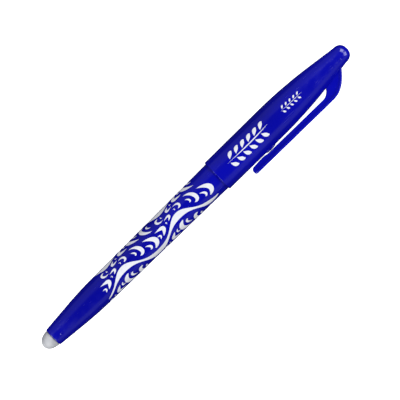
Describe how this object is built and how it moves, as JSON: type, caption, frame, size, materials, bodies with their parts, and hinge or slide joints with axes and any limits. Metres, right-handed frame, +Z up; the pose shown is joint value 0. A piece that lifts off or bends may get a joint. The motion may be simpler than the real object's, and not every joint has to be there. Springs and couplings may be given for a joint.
{
  "type": "fabric marking pen",
  "caption": "Capped, refillable marking pen for cloth, with a clip on its cap, a screw-in grip section and an eraser on its tail.",
  "frame": {"origin": "centre of the pen's footprint, on the plane that the capped pen's widest part rests on", "axes": "+X along the pen from the eraser to the cap's closed end, -Y towards the clip, +Z up"},
  "size_m": [0.142, 0.0152, 0.0121],
  "materials": {
    "blue_gloss": "glossy injection-moulded plastic",
    "blue_satin": "satin injection-moulded plastic",
    "grip_rubber": "matt soft rubber",
    "eraser_rubber": "translucent, slightly frosted rubber",
    "milky_plastic": "milky translucent plastic",
    "print_silver": "silver-white printed ink",
    "ink_blue": "liquid gel ink",
    "follower_grease": "clear grease",
    "tip_steel": "turned and polished",
    "ball_carbide": "polished"
  },
  "bodies": {
    "barrel": {"barrel": "blue_gloss", "eraser": "eraser_rubber"},
    "refill": {"refill_tube": "milky_plastic", "refill_tail_plug": "milky_plastic", "ink_column": "ink_blue", "tip_holder": "milky_plastic", "writing_tip": "tip_steel", "tip_spring": "tip_steel"},
    "section": {"grip_section": "blue_satin", "grip_sleeve": "grip_rubber"},
    "liner": {"inner_cap": "milky_plastic"},
    "cap": {"cap_shell": "blue_gloss"},
    "clip": {"clip": "blue_gloss"},
    "ball": {"ball": "ball_carbide"},
    "follower": {"follower": "follower_grease"}
  },
  "joints": [
    {"name": "refill_draw", "type": "slide", "parent": "barrel", "child": "refill", "axis": [1, 0, 0], "range_m": [0, 0.00562]},
    {"name": "section_turn", "type": "hinge", "parent": "refill", "child": "section", "pos_m": [0.0111, 0.00156, 0.00607], "axis": [1, 0, 0], "range_deg": [0, 1350]},
    {"name": "cap_pull", "type": "slide", "parent": "section", "child": "liner", "axis": [1, 0, 0], "range_m": [0, 0.055]},
    {"name": "cap_spin", "type": "hinge", "parent": "liner", "child": "cap", "pos_m": [0.0102, 0.00156, 0.00607], "axis": [1, 0, 0], "continuous": true},
    {"name": "clip_flex", "type": "hinge", "parent": "cap", "child": "clip", "pos_m": [0.0532, -0.00641, 0.00607], "axis": [0, 0, 1], "range_deg": [0, 5], "stiffness_Nm_per_rad": 0.5},
    {"name": "ball_roll", "type": "hinge", "parent": "refill", "child": "ball", "pos_m": [0.05755, 0.00156, 0.00607], "axis": [0, 0, 1], "continuous": true},
    {"name": "follower_slide", "type": "slide", "parent": "refill", "child": "follower", "axis": [1, 0, 0], "range_m": [0, 0.06], "deforming": ["ink_column"]}
  ],
  "couplings": [
    {"joint": "section_turn", "follows": "refill_draw", "rad_per_m": 4188.8}
  ]
}
